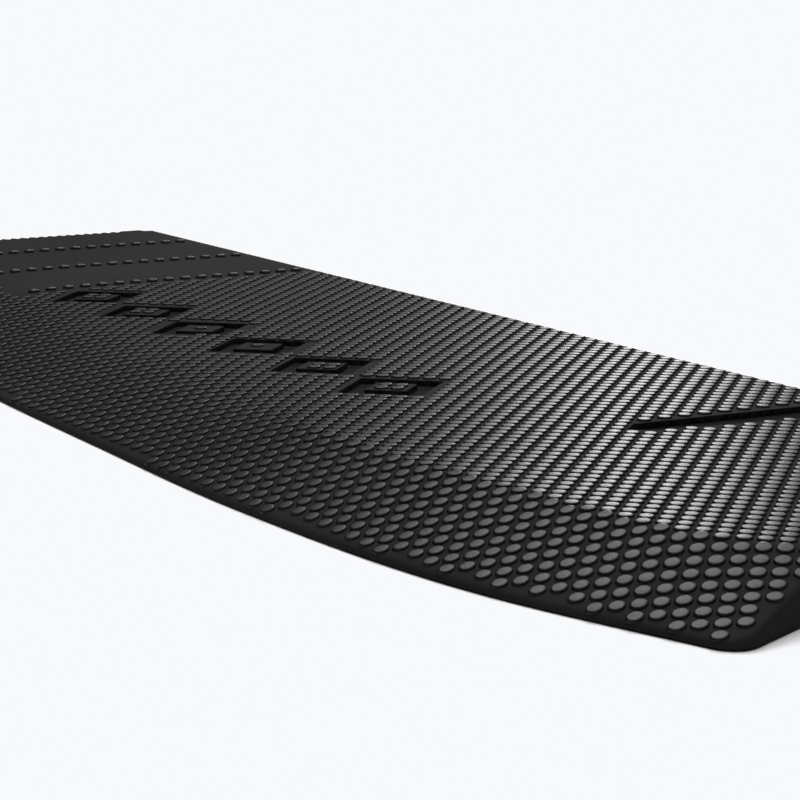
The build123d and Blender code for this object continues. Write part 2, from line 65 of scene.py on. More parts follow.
PITCH = 3.6
PAD_TOP = 7.62
PAD_UNDERSIDE = 0.3
CREASE_RADIUS = 0.35
ROLL_RADIUS = 6.5
CREASE_Y = -72.0
ROLL_Y = -30.0
EDGE_RADIUS = 0.9
EDGE_HEIGHT = 0.75
EDGE_SOFTNESS = 0.5
EDGE_TURN = 0.85
FLANK_FOOT = 0.8
FLANK_LEAST = 10.0
FOOT_CURVE = [(-36.6, 168.5), (-51.2, 17.3), (-52.6, -25.0), (-53.5, -75.2), (-48.6, -128.2), (-37.8, -164.2)]
FOOT_BEYOND_HEEL = (-34.5, 190.0)
FOOT_BEYOND_TOE = (-29.5, -192.0)
RIDGE_CURVE = [(-11.0, 180.0), (-13.0, 160.2), (-22.7, 54.0), (-31.7, -18.0), (-36.0, -72.0), (-35.2, -92.0),
               (-32.2, -116.0), (-30.0, -130.0), (-27.3, -141.0), (-21.8, -149.5), (-12.0, -158.0),
               (4.0, -170.0)]
INNER_X = 55.1
INNER_TOP_X = 45.0
HEEL_Y = 168.5
HEEL_TOP_Y = 164.4
TOE_INNER = (55.1, -123.3)
CORNER_RADII = {"toe_outer": 3.5, "toe_inner": 13.0, "heel_inner": 9.0, "heel_outer": 9.0}
BEVEL_FOOT = 1.6

DOT_RADIUS = 1.14
DOT_MARGIN = 1.0
DOT_SIDES = 12
DOT_RIDGE_OVERLAP = 1.0
DOT_BEVEL_GAP = 1.3
DOT_RECESS_GAP = 1.08
BUMP_ROWS = (140.0, 112.7, 85.4)
BUMP_RADIUS = 1.15
BUMP_SIDES = 20
SMOOTH_HEEL_Y = 82.0

MARK_COUNT = 6
MARK_FIRST_Y = 71.5
MARK_PITCH = 22.2
MARK_CENTRE_X = -9.0
MARK_HALF_LENGTH = 9.2
MARK_HALF_WIDTH = 9.6
MARK_STROKE = 3.4
MARK_DEPTH = 0.85
GROOVE = [(2.8, -85.4), (6.0, -82.6), (49.0, -84.0), (49.0, -92.9), (6.0, -88.1)]
GROOVE_DEPTH = 0.9
WALL_DRAFT = 0.1

GRID_STEP = 2.2
EDGE_RINGS = (0.12, 0.35, 0.7, 1.1, 1.6, 2.6)
GRID_MARGIN = 3.4
RIDGE_BANDS = (-7, -4.5, -3, -1.8, -1, -0.4, 0, 0.4, 1, 1.8, 3, 4.5, 7)
RIDGE_CLEARANCE = 7.5
RECESS_CLEARANCE = 0.8


def smooth_curve(points, spacing):
    """A cubic curve through a few control points, sampled about every `spacing` millimetres."""
    points = np.array(points, float)
    steps = np.linalg.norm(np.diff(points, axis=0), axis=1)
    stations = np.concatenate([[0], np.cumsum(steps)])
    slopes = np.gradient(points, stations, axis=0)
    samples = np.linspace(0, stations[-1], int(stations[-1] / spacing) + 2)
    spans = np.clip(np.searchsorted(stations, samples, side="right") - 1, 0, len(steps) - 1)
    length = steps[spans]
    t = ((samples - stations[spans]) / length)[:, None]
    start, end = points[spans], points[spans + 1]
    out, into = slopes[spans] * length[:, None], slopes[spans + 1] * length[:, None]
    return ((2 * t**3 - 3 * t**2 + 1) * start + (t**3 - 2 * t**2 + t) * out
            + (3 * t**2 - 2 * t**3) * end + (t**3 - t**2) * into)


def distance_to(points, line, closed=False):
    """Distance from each point to a polyline, and which side it is on: positive to its left."""
    points = np.asarray(points, float)
    line = np.asarray(line, float)
    if closed:
        line = np.vstack([line, line[:1]])
    best = np.full(len(points), 1e9)
    sign = np.ones(len(points))
    for a, b in zip(line[:-1], line[1:]):
        d = b - a
        t = np.clip(((points - a) @ d) / (d @ d), 0, 1)
        gap = points - (a + t[:, None] * d)
        distance = np.hypot(gap[:, 0], gap[:, 1])
        nearer = distance < best - 1e-9
        best = np.where(nearer, distance, best)
        side = d[0] * (points[:, 1] - a[1]) - d[1] * (points[:, 0] - a[0])
        sign = np.where(nearer, np.where(side >= 0, 1.0, -1.0), sign)
    return best, sign


def inside(points, polygon):
    """True for each point that lies inside a closed polygon."""
    points = np.asarray(points, float)
    result = np.zeros(len(points), bool)
    previous = polygon[-1]
    for corner in polygon:
        (x0, y0), (x1, y1) = previous, corner
        crosses = (y0 > points[:, 1]) != (y1 > points[:, 1])
        with np.errstate(divide="ignore", invalid="ignore"):
            at = (x1 - x0) * (points[:, 1] - y0) / (y1 - y0) + x0
        result ^= crosses & (points[:, 0] < at)
        previous = corner
    return result


def round_corner(before, corner, after, radius, steps=9):
    """Points of the arc that rounds one corner of a polygon."""
    corner = np.array(corner, float)
    a = np.array(before, float) - corner
    b = np.array(after, float) - corner
    a /= np.linalg.norm(a)
    b /= np.linalg.norm(b)
    half = math.acos(np.clip(a @ b, -1, 1)) / 2
    middle = (a + b) / np.linalg.norm(a + b)
    centre = corner + middle * radius / math.sin(half)
    start = corner + a * radius / math.tan(half) - centre
    end = corner + b * radius / math.tan(half) - centre
    turn = math.atan2(start[0] * end[1] - start[1] * end[0], start @ end)
    angles = np.linspace(0, turn, steps)
    c, s = np.cos(angles), np.sin(angles)
    swept_x = centre[0] + c * start[0] - s * start[1]
    swept_y = centre[1] + s * start[0] + c * start[1]
    return np.stack([swept_x, swept_y], axis=1)


def straight(start, end, spacing=3.0):
    """Evenly spaced points strictly between two ends."""
    start, end = np.array(start, float), np.array(end, float)
    count = max(1, int(np.linalg.norm(end - start) / spacing))
    return start + (end - start) * (np.arange(1, count)[:, None] / count)


def pad_outline():
    """The closed, rounded outline of the pad on the deck, anticlockwise from the heel's outer corner."""
    foot = smooth_curve(FOOT_CURVE, 3.0)
    heel_outer, toe_outer = foot[0], foot[-1]
    heel_inner = np.array([INNER_X, HEEL_Y])
    toe_inner = np.array(TOE_INNER)
    toe_arc = round_corner(foot[-4], toe_outer, toe_inner, CORNER_RADII["toe_outer"])
    inner_toe_arc = round_corner(toe_outer, toe_inner, heel_inner, CORNER_RADII["toe_inner"])
    inner_heel_arc = round_corner(toe_inner, heel_inner, heel_outer, CORNER_RADII["heel_inner"])
    heel_arc = round_corner(heel_inner, heel_outer, foot[4], CORNER_RADII["heel_outer"])
    keep = (foot[:, 1] < heel_arc[-1, 1] - 1.5) & (foot[:, 1] > toe_arc[0, 1] + 1.5)
    return np.vstack([
        heel_arc, foot[keep], toe_arc, straight(toe_arc[-1], inner_toe_arc[0]), inner_toe_arc,
        straight(inner_toe_arc[-1], inner_heel_arc[0]), inner_heel_arc,
        straight(inner_heel_arc[-1], heel_arc[0]),
    ])


def inset(loop, distance):
    """A closed anticlockwise loop moved inwards."""
    ahead = np.roll(loop, -1, axis=0) - np.roll(loop, 1, axis=0)
    ahead /= np.linalg.norm(ahead, axis=1)[:, None]
    return loop + distance * np.stack([-ahead[:, 1], ahead[:, 0]], axis=1)


OUTLINE = pad_outline()
RIDGE = smooth_curve(RIDGE_CURVE, 2.0)
FOOT_LINE = np.vstack([FOOT_BEYOND_HEEL, smooth_curve(FOOT_CURVE, 2.0), FOOT_BEYOND_TOE])


def lozenge(index, shrink):
    """One lozenge of the moulded grip mark, its sides moved inwards by `shrink`."""
    x, y = MARK_CENTRE_X, MARK_FIRST_Y - index * MARK_PITCH
    share = 1 - shrink * math.hypot(MARK_HALF_LENGTH, MARK_HALF_WIDTH) / (MARK_HALF_LENGTH * MARK_HALF_WIDTH)
    w, h = MARK_HALF_WIDTH * share, MARK_HALF_LENGTH * share
    return np.array([(x + w, y), (x, y + h), (x - w, y), (x, y - h)])


# Each recess: outer loop, depth, and the loop of the island left standing in it.
RECESSES = [(lozenge(i, 0.0), MARK_DEPTH, lozenge(i, MARK_STROKE)) for i in range(MARK_COUNT)]
RECESSES.append((np.array(GROOVE), GROOVE_DEPTH, None))


def anticlockwise(loop):
    """The same loop, wound anticlockwise."""
    x, y = loop[:, 0], loop[:, 1]
    area = np.sum(x * np.roll(y, -1) - y * np.roll(x, -1))
    return loop if area > 0 else loop[::-1]


def surface(points):
    """Height of the pad's skin, without recesses or dots."""
    points = np.asarray(points, float)
    x, y = points[:, 0], points[:, 1]
    gap, side = distance_to(points, RIDGE)
    outward = -gap * side
    blend = np.clip((y - CREASE_Y) / (ROLL_Y - CREASE_Y), 0, 1)
    radius = CREASE_RADIUS + (ROLL_RADIUS - CREASE_RADIUS) * blend * blend * (3 - 2 * blend)
    foot_gap, _ = distance_to(points, FOOT_LINE)
    slope = (PAD_TOP - FLANK_FOOT) / np.maximum(foot_gap + outward, FLANK_LEAST)
    height = PAD_TOP - slope * (outward + np.sqrt(outward**2 + radius**2)) / 2
    inner = BEVEL_FOOT + (INNER_X - x) * (PAD_TOP - BEVEL_FOOT) / (INNER_X - INNER_TOP_X)
    heel = BEVEL_FOOT + (HEEL_Y - y) * (PAD_TOP - BEVEL_FOOT) / (HEEL_Y - HEEL_TOP_Y)
    height = np.minimum(height, np.minimum(inner, heel))
    edge, _ = distance_to(points, OUTLINE, closed=True)
    spare = height - EDGE_HEIGHT
    height = EDGE_HEIGHT + (spare + np.sqrt(spare**2 + EDGE_SOFTNESS**2)) / 2
    near = np.clip(EDGE_RADIUS - edge, 0, EDGE_RADIUS)
    return height - (EDGE_RADIUS - np.sqrt(EDGE_RADIUS**2 - near**2)) * EDGE_TURN


def surface_normals(points, step=0.6):
    """Unit normals of the skin, from its height a short step to either side."""
    points = np.asarray(points, float)
    dx = (surface(points + [step, 0]) - surface(points - [step, 0])) / (2 * step)
    dy = (surface(points + [0, step]) - surface(points - [0, step])) / (2 * step)
    normals = np.stack([-dx, -dy, np.ones(len(points))], axis=1)
    return normals / np.linalg.norm(normals, axis=1)[:, None]


# ---------------------------------------------------------------- mesh helpers


def make_object(name, vertices, faces, material, smooth_angle=None):
    """A mesh object in the scene, smooth except over edges sharper than an angle in degrees."""
    mesh = bpy.data.meshes.new(name)
    mesh.from_pydata([tuple(v) for v in vertices], [], [tuple(f) for f in faces])
    mesh.update()
    piece = bpy.data.objects.new(name, mesh)
    bpy.context.scene.collection.objects.link(piece)
    piece.data.materials.append(material)
    mesh.polygons.foreach_set("use_smooth", [True] * len(mesh.polygons))
    if smooth_angle is not None:
        mesh.set_sharp_from_angle(angle=math.radians(smooth_angle))
    return piece


def pad_matrix(side):
    """From the pad's own plane, in millimetres, to the row frame: the right pad is a mirror image."""
    pivot, hand = SIDES[side]
    turn = Matrix.Rotation(-DUCK_ANGLE, 4, "Z")
    flip = Matrix.Diagonal((hand, 1, 1, 1))
    return Matrix.Translation(pivot) @ flip @ turn @ Matrix.Scale(MM, 4)


def to_frame(vertices, side):
    """Points of a pad's own plane, moved to the row frame."""
    matrix = np.array(pad_matrix(side))
    return np.asarray(vertices, float) @ matrix[:3, :3].T + matrix[:3, 3]


def facing(faces, side):
    """Faces with their winding turned round on the mirrored side, so that they still face out."""
    return faces if side == "left" else [face[::-1] for face in faces]


NO_POINTS = np.zeros((0, 2))


def fill_plane(loops, extra, holes=()):
    """Triangles that fill the first loop, keeping every loop's edges; faces inside a hole are left out."""
    points, edges = [], []
    for loop in loops:
        first = len(points)
        points += [tuple(p) for p in loop]
        edges += [(first + i, first + (i + 1) % len(loop)) for i in range(len(loop))]
    points += [tuple(p) for p in extra]
    vertices, _, faces, *_ = delaunay_2d_cdt([Vector(p) for p in points], edges, [], 0, 1e-4)
    vertices = np.array([tuple(v) for v in vertices])
    triangles = np.array([f for f in faces if len(f) == 3])
    centres = vertices[triangles].mean(axis=1)
    keep = inside(centres, np.asarray(loops[0]))
    for hole in holes:
        keep &= ~inside(centres, np.asarray(hole))
    triangles = triangles[keep]
    a, b, c = (vertices[triangles[:, i]] for i in range(3))
    area = (b[:, 0] - a[:, 0]) * (c[:, 1] - a[:, 1]) - (b[:, 1] - a[:, 1]) * (c[:, 0] - a[:, 0])
    triangles[area < 0] = triangles[area < 0][:, ::-1]
    return vertices, triangles[np.abs(area) > 1e-7]


# ---------------------------------------------------------------- footpad body

PLATE_CENTRE = (7.0, -14.0)
PLATE_POCKET = (65.0, 213.0, 14.5)
PLATE_POCKET_TOP = 4.4
STUD_PLACES = [(-14.0, -101.0), (28.0, -101.0), (-14.0, 58.0), (28.0, 58.0)]
STUD_POCKET = (3.08, 6.2)
CUSHION_CENTRE = (10.0, 125.0)
CUSHION_POCKET = (52.4, 44.4, 9.2)
CUSHION_POCKET_TOP = 5.0


def rounded_rectangle(centre, width, length, radius, steps=7):
    """Closed anticlockwise loop of a rectangle with round corners."""
    loop = []
    for quarter, (sx, sy) in enumerate(((1, 1), (-1, 1), (-1, -1), (1, -1))):
        cx = centre[0] + sx * (width / 2 - radius)
        cy = centre[1] + sy * (length / 2 - radius)
        for a in np.linspace(quarter * 90, quarter * 90 + 90, steps):
            loop.append((cx + radius * math.cos(math.radians(a)), cy + radius * math.sin(math.radians(a))))
    return np.array(loop)


def circle(centre, radius, steps=20):
    """Closed anticlockwise loop of a circle."""
    angles = np.arange(steps) * 2 * math.pi / steps
    return np.stack([centre[0] + radius * np.cos(angles), centre[1] + radius * np.sin(angles)], axis=1)


class Builder:
    """Collects vertices and faces of one closed mesh; welds what meets."""

    def __init__(self):
        self.vertices, self.faces, self.lookup = [], [], {}

    def vertex(self, x, y, z):
        key = (round(x, 4), round(y, 4), round(z, 4))
        if key not in self.lookup:
            self.lookup[key] = len(self.vertices)
            self.vertices.append((x, y, z))
        return self.lookup[key]

    def face(self, corners):
        indices = [self.vertex(*c) for c in corners]
        if len(set(indices)) == len(indices):
            self.faces.append(indices)

    def sheet(self, vertices, triangles, heights, up=True):
        for triangle in triangles:
            order = triangle if up else triangle[::-1]
            self.face([(vertices[i][0], vertices[i][1], heights[i]) for i in order])

    def wall(self, loop, low, high, outward=True):
        """A band between two heights along an anticlockwise loop."""
        for i in range(len(loop)):
            j = (i + 1) % len(loop)
            (x0, y0), (x1, y1) = loop[i], loop[j]
            quad = [(x0, y0, low[i]), (x1, y1, low[j]), (x1, y1, high[j]), (x0, y0, high[i])]
            self.face(quad if outward else quad[::-1])


def dense(loop):
    """The same closed loop with points added along its sides."""
    sides = zip(loop, np.roll(loop, -1, axis=0))
    return np.vstack([np.vstack([a[None], straight(a, b, 2.0)]) for a, b in sides])


def recess_depth(points):
    """How far each point lies below the plain skin, in the mark and the groove."""
    depths = np.zeros(len(points))
    for loop, depth, island in RECESSES:
        gap, _ = distance_to(points, loop, closed=True)
        lowered = inside(points, loop) & (gap > WALL_DRAFT / 2)
        if island is not None:
            gap, _ = distance_to(points, island, closed=True)
            lowered &= ~inside(points, island) & (gap > WALL_DRAFT / 2)
        depths += depth * lowered
    return depths


def pad_skin():
    """Vertices and faces of the pad's body in its own plane: skin, edge, underside and pockets."""
    outline = anticlockwise(OUTLINE)
    loops = [outline] + [inset(outline, d) for d in EDGE_RINGS]
    recess_loops, floor_loops = [], []
    for loop, _, island in RECESSES:
        loop = dense(anticlockwise(loop))
        recess_loops.append(loop)
        floor_loops.append(inset(loop, WALL_DRAFT))
        if island is not None:
            island = dense(anticlockwise(island))
            recess_loops.append(island)
            floor_loops.append(inset(island, -WALL_DRAFT))

    low, high = outline.min(axis=0), outline.max(axis=0)
    xs, ys = (np.arange(low[k], high[k], GRID_STEP) for k in (0, 1))
    grid = np.stack(np.meshgrid(xs, ys), axis=-1).reshape(-1, 2)
    tangent = np.gradient(RIDGE, axis=0)
    tangent /= np.linalg.norm(tangent, axis=1)[:, None]
    normal = np.stack([-tangent[:, 1], tangent[:, 0]], axis=1)
    bands = np.vstack([RIDGE + normal * offset for offset in RIDGE_BANDS])
    bevels = np.vstack([
        straight((INNER_TOP_X, low[1]), (INNER_TOP_X, HEEL_TOP_Y), GRID_STEP),
        straight((low[0], HEEL_TOP_Y), (INNER_TOP_X, HEEL_TOP_Y), GRID_STEP),
    ])
    near_ridge, _ = distance_to(grid, RIDGE)
    extra = np.vstack([grid[near_ridge > RIDGE_CLEARANCE], bands, bevels])
    extra = extra[inside(extra, inset(outline, GRID_MARGIN))]
    clear = np.ones(len(extra), bool)
    for loop in recess_loops:
        gap, _ = distance_to(extra, loop, closed=True)
        clear &= gap > RECESS_CLEARANCE
    vertices, triangles = fill_plane(loops + recess_loops + floor_loops, extra[clear])
    heights = surface(vertices) - recess_depth(vertices)

    build = Builder()
    build.sheet(vertices, triangles, heights)
    rim = surface(outline)
    base = np.full(len(outline), PAD_UNDERSIDE)
    build.wall(outline, base, rim)

    plate = rounded_rectangle(PLATE_CENTRE, *PLATE_POCKET)
    cushion = rounded_rectangle(CUSHION_CENTRE, *CUSHION_POCKET)
    studs = [circle(place, STUD_POCKET[0]) for place in STUD_PLACES]
    under, under_faces = fill_plane([outline, plate, cushion], NO_POINTS, holes=[plate, cushion])
    build.sheet(under, under_faces, np.full(len(under), PAD_UNDERSIDE), up=False)
    for pocket, top, holes in ((plate, PLATE_POCKET_TOP, studs), (cushion, CUSHION_POCKET_TOP, [])):
        build.wall(pocket, np.full(len(pocket), PAD_UNDERSIDE), np.full(len(pocket), top), outward=False)
        cap, cap_faces = fill_plane([pocket] + holes, NO_POINTS, holes=holes)
        build.sheet(cap, cap_faces, np.full(len(cap), top), up=False)
    for stud in studs:
        low_ring, high_ring = np.full(len(stud), PLATE_POCKET_TOP), np.full(len(stud), STUD_POCKET[1])
        build.wall(stud, low_ring, high_ring, outward=False)
        cap, cap_faces = fill_plane([stud], NO_POINTS)
        build.sheet(cap, cap_faces, np.full(len(cap), STUD_POCKET[1]), up=False)
    return build.vertices, build.faces


def dot_places():
    """Centres of the small dots: a square lattice turned by 45 degrees, clear of edges and recesses."""
    half = PITCH / 2
    reach = int(HEEL_Y / half)
    i, j = np.meshgrid(np.arange(-reach, reach + 1), np.arange(-reach, reach + 1), indexing="ij")
    even = (i + j) % 2 == 0
    places = np.stack([i[even], j[even]], axis=1) * half
    edge, _ = distance_to(places, OUTLINE, closed=True)
    gap, side = distance_to(places, RIDGE)
    on_top = gap * side > -DOT_RIDGE_OVERLAP
    keep = inside(places, OUTLINE) & (edge > DOT_MARGIN)
    keep &= ~(on_top & (places[:, 1] > SMOOTH_HEEL_Y))
    keep &= (places[:, 0] < INNER_TOP_X - DOT_BEVEL_GAP) & (places[:, 1] < HEEL_TOP_Y - DOT_BEVEL_GAP)
    for loop, _, island in RECESSES:
        gap, _ = distance_to(places, loop, closed=True)
        blocked = inside(places, loop) | (gap < DOT_RECESS_GAP)
        if island is not None:
            gap, _ = distance_to(places, island, closed=True)
            blocked &= ~(inside(places, island) & (gap > DOT_RECESS_GAP))
        keep &= ~blocked
    return places[keep]


def bump_places():
    """Centres of the large grip bumps: three rows across the heel end of the flat top."""
    places = []
    for y in BUMP_ROWS:
        for x in (np.arange(-8, 13) + 0.5) * PITCH:
            gap, side = distance_to([(x, y)], RIDGE)
            if gap[0] * side[0] > 1.5 and x < INNER_TOP_X - 2.0:
                places.append((x, y))
    return np.array(places)


DOT_RINGS = [(1.0, -0.12), (0.98, 0.14), (0.90, 0.26), (0.70, 0.28)]
BUMP_RINGS = [(1.0, -0.12), (0.97, 0.16), (0.86, 0.36), (0.66, 0.52), (0.42, 0.60), (0.16, 0.63)]


def pucks(places, radius, rings, sides):
    """Low round pucks that stand on the skin, each square to it and sunk a little into it."""
    base = surface(places)
    normals = surface_normals(places)
    angles = np.arange(sides) * 2 * math.pi / sides
    across = np.cross([0.0, 1.0, 0.0], normals)
    across /= np.linalg.norm(across, axis=1)[:, None]
    along = np.cross(normals, across)
    vertices = []
    for share, lift in rings:
        ring = (across[:, None, :] * np.cos(angles)[None, :, None]
                + along[:, None, :] * np.sin(angles)[None, :, None]) * radius * share
        centre = np.concatenate([places, base[:, None]], axis=1) + normals * lift
        vertices.append(centre[:, None, :] + ring)
    vertices = np.stack(vertices, axis=1).reshape(-1, 3)
    per_puck = len(rings) * sides
    faces = []
    for puck in range(len(places)):
        first = puck * per_puck
        for ring in range(len(rings) - 1):
            low, high = first + ring * sides, first + (ring + 1) * sides
            for k in range(sides):
                n = (k + 1) % sides
                faces.append((low + k, low + n, high + n, high + k))
        top = first + (len(rings) - 1) * sides
        faces.append(tuple(range(top, top + sides)))
        faces.append(tuple(range(first + sides - 1, first - 1, -1)))
    return vertices, faces


# ---------------------------------------------------------------- materials


def new_material(name):
    """A material, with its nodes and links."""
    material = bpy.data.materials.new(name)
    material.use_nodes = True
    return material, material.node_tree.nodes, material.node_tree.links


def noise(nodes, links, coordinates, scale, detail=4.0, stretch=None):
    """A noise texture in object space, in metres; `stretch` scales each axis."""
    texture = nodes.new("ShaderNodeTexNoise")
    texture.inputs["Scale"].default_value = scale
    texture.inputs["Detail"].default_value = detail
    source = coordinates.outputs["Object"]
    if stretch is not None:
        mapping = nodes.new("ShaderNodeMapping")
        mapping.inputs["Scale"].default_value = stretch
        links.new(source, mapping.inputs["Vector"])
        source = mapping.outputs["Vector"]
    links.new(source, texture.inputs["Vector"])
    return texture.outputs["Fac"]


def ramp(nodes, links, source, low, high, start=0.3, end=0.7):
    """Turns a 0 to 1 signal into a colour between two ends."""
    node = nodes.new("ShaderNodeValToRGB")
    node.color_ramp.elements[0].position = start
    node.color_ramp.elements[1].position = end
    node.color_ramp.elements[0].color = (*low, 1)
    node.color_ramp.elements[1].color = (*high, 1)
    links.new(source, node.inputs["Fac"])
    return node.outputs["Color"]


def span(nodes, links, source, low, high):
    """Maps a 0 to 1 signal linearly to another range."""
    node = nodes.new("ShaderNodeMapRange")
    node.inputs["To Min"].default_value = low
    node.inputs["To Max"].default_value = high
    links.new(source, node.inputs["Value"])
    return node.outputs["Result"]


def bump(nodes, links, source, distance, strength=1.0, below=None):
    """A bump node over another one."""
    node = nodes.new("ShaderNodeBump")
    node.inputs["Distance"].default_value = distance
    node.inputs["Strength"].default_value = strength
    links.new(source, node.inputs["Height"])
    if below is not None:
        links.new(below, node.inputs["Normal"])
    return node.outputs["Normal"]


def grained(name, dark, light, roughness, grain, depth, metallic=0.0, specular=0.5, broad=25.0, stretch=None,
            coat=0.0):
    """A surface with broad colour drift, fine grain in the relief and uneven roughness."""
    material, nodes, links = new_material(name)
    shader = nodes["Principled BSDF"]
    coordinates = nodes.new("ShaderNodeTexCoord")
    drift = noise(nodes, links, coordinates, broad, 5.0, stretch)
    fine = noise(nodes, links, coordinates, grain, 3.0, stretch)
    links.new(ramp(nodes, links, drift, dark, light), shader.inputs["Base Color"])
    links.new(span(nodes, links, fine, roughness - 0.07, roughness + 0.07), shader.inputs["Roughness"])
    links.new(bump(nodes, links, fine, depth), shader.inputs["Normal"])
    shader.inputs["Metallic"].default_value = metallic
    shader.inputs["Specular IOR Level"].default_value = specular
    shader.inputs["Coat Weight"].default_value = coat
    return material


def weave(nodes, links, coordinates, pitch):
    """A plain glass weave: two crossed waves in object space."""
    waves = []
    for direction in ("X", "Y"):
        wave = nodes.new("ShaderNodeTexWave")
        wave.wave_type = "BANDS"
        wave.bands_direction = direction
        wave.inputs["Scale"].default_value = 0.314 / pitch
        wave.inputs["Distortion"].default_value = 0.6
        wave.inputs["Detail"].default_value = 1.0
        links.new(coordinates.outputs["Object"], wave.inputs["Vector"])
        waves.append(wave.outputs["Fac"])
    node = nodes.new("ShaderNodeMath")
    node.operation = "MULTIPLY"
    links.new(waves[0], node.inputs[0])
    links.new(waves[1], node.inputs[1])
    return node.outputs["Value"]


BAND_SLANT = 0.32
BAND_START = 0.45
BAND_END = 0.75
BAND_COLOUR = (0.05, 0.085, 0.11, 1)
# Where each stretch begins, as a share of the way, and how much of the band colour it carries.
BANDS = [(0.20, 0.35), (0.23, 0.0), (0.27, 0.6), (0.33, 0.0), (0.37, 0.95), (0.62, 0.0), (0.66, 0.5),
         (0.70, 0.0)]


def tip_bands(nodes, links, coordinates, ground):
    """Slanted bands printed near both tips of the deck, over the ground colour."""
    split = nodes.new("ShaderNodeSeparateXYZ")
    links.new(coordinates.outputs["Object"], split.inputs["Vector"])
    along = nodes.new("ShaderNodeMath")
    along.operation = "ABSOLUTE"
    links.new(split.outputs["X"], along.inputs[0])
    slant = nodes.new("ShaderNodeMath")
    slant.operation = "MULTIPLY_ADD"
    slant.inputs[1].default_value = BAND_SLANT
    links.new(split.outputs["Y"], slant.inputs[0])
    links.new(along.outputs["Value"], slant.inputs[2])
    placed = nodes.new("ShaderNodeMapRange")
    placed.inputs["From Min"].default_value = BAND_START
    placed.inputs["From Max"].default_value = BAND_END
    links.new(slant.outputs["Value"], placed.inputs["Value"])
    bands = nodes.new("ShaderNodeValToRGB")
    bands.color_ramp.interpolation = "CONSTANT"
    bands.color_ramp.elements[0].color = (0, 0, 0, 1)
    bands.color_ramp.elements[1].position = BANDS[0][0]
    bands.color_ramp.elements[1].color = (*[BANDS[0][1]] * 3, 1)
    for place, cover in BANDS[1:]:
        bands.color_ramp.elements.new(place).color = (cover, cover, cover, 1)
    links.new(placed.outputs["Result"], bands.inputs["Fac"])
    mix = nodes.new("ShaderNodeMix")
    mix.data_type = "RGBA"
    mix.inputs[7].default_value = BAND_COLOUR
    links.new(bands.outputs["Color"], mix.inputs[0])
    links.new(ground, mix.inputs[6])
    return mix.outputs[2]


def laminate(name, dark, light, roughness, specular, coat, banded=False):
    """Gel coat over glass cloth."""
    material, nodes, links = new_material(name)
    shader = nodes["Principled BSDF"]
    coordinates = nodes.new("ShaderNodeTexCoord")
    drift = noise(nodes, links, coordinates, 9.0, 4.0)
    cloth = weave(nodes, links, coordinates, 0.0016)
    orange_peel = noise(nodes, links, coordinates, 260.0, 2.0)
    ground = ramp(nodes, links, drift, dark, light)
    if banded:
        ground = tip_bands(nodes, links, coordinates, ground)
    links.new(ground, shader.inputs["Base Color"])
    links.new(span(nodes, links, orange_peel, roughness - 0.05, roughness + 0.05), shader.inputs["Roughness"])
    relief = bump(nodes, links, cloth, 0.00002)
    links.new(bump(nodes, links, orange_peel, 0.00004, below=relief), shader.inputs["Normal"])
    shader.inputs["Specular IOR Level"].default_value = specular
    shader.inputs["Coat Weight"].default_value = coat
    shader.inputs["Coat Roughness"].default_value = 0.12
    return material


def grey(value):
    """A grey that leans very slightly to blue."""
    return (value, value, value * 1.02)


PAD_RUBBER = grained("pad_rubber", grey(0.013), grey(0.019), 0.75, 2600.0, 0.00003, specular=0.03)
DOT_RUBBER = grained("dot_rubber", grey(0.006), grey(0.010), 0.34, 3200.0, 0.00002, specular=0.125)
# Darker rubber for the floors and walls of the mark and the groove: painted shade in the recesses, not a different
# rubber.
RECESS_SHADE_RUBBER = grained("recess_rubber_painted_shade", grey(0.004), grey(0.007), 0.85, 2600.0, 0.00003, specular=0.04)
MATERIALS = {
    "pad_rubber": PAD_RUBBER,
    "deck_gelcoat": laminate("deck_gelcoat", (0.87, 0.875, 0.88), (0.895, 0.90, 0.905), 0.6, 0.12, 0.0,
                             banded=True),
    "base_gelcoat": laminate("base_gelcoat", (0.16, 0.19, 0.22), (0.22, 0.25, 0.28), 0.3, 0.5, 0.4),
    "paulownia": grained("paulownia", (0.5, 0.36, 0.2), (0.72, 0.56, 0.36), 0.6, 900.0, 0.0001,
                         stretch=(0.08, 1.0, 1.0), broad=60.0),
    "abs_rail": grained("abs_rail", (0.84, 0.845, 0.85), (0.9, 0.905, 0.91), 0.5, 1100.0, 0.00004,
                        specular=0.35),
    "dense_pvc": grained("dense_pvc", (0.4, 0.37, 0.31), (0.5, 0.46, 0.4), 0.8, 700.0, 0.0002),
    "brass": grained("brass", (0.62, 0.45, 0.2), (0.8, 0.62, 0.32), 0.3, 1500.0, 0.00001, metallic=1.0),
    "acetal": grained("acetal", grey(0.05), grey(0.075), 0.4, 1600.0, 0.00003),
    "stainless": grained("stainless", grey(0.5), grey(0.66), 0.3, 1800.0, 0.00001, metallic=1.0, broad=180.0),
    "handle_tpu": grained("handle_tpu", grey(0.022), grey(0.034), 0.5, 2200.0, 0.00005, specular=0.35),
    "fin_laminate": grained("fin_laminate", (0.03, 0.034, 0.038), (0.05, 0.055, 0.06), 0.28, 900.0, 0.00002,
                            broad=70.0, coat=0.3),
    "glass_nylon": grained("glass_nylon", grey(0.05), grey(0.08), 0.55, 1400.0, 0.00004),
    "glass_nylon_grey": grained("glass_nylon_grey", grey(0.22), grey(0.3), 0.5, 1400.0, 0.00004),
    "cushion_foam": grained("cushion_foam", (0.10, 0.105, 0.12), (0.15, 0.155, 0.17), 0.75, 1700.0, 0.00012,
                            specular=0.25),
}

for subpart in frame["record"]["subparts"]:
    node = frame["nodes"][subpart["node"]]
    node.data.materials.clear()
    node.data.materials.append(MATERIALS[subpart["material_slot"]])

# ---------------------------------------------------------------- footpads

SKIN_SMOOTH_ANGLE = 35
ROUND_SMOOTH_ANGLE = 50
TOE_DOTS_END = -62.0
MIDDLE_DOTS_END = 24.0

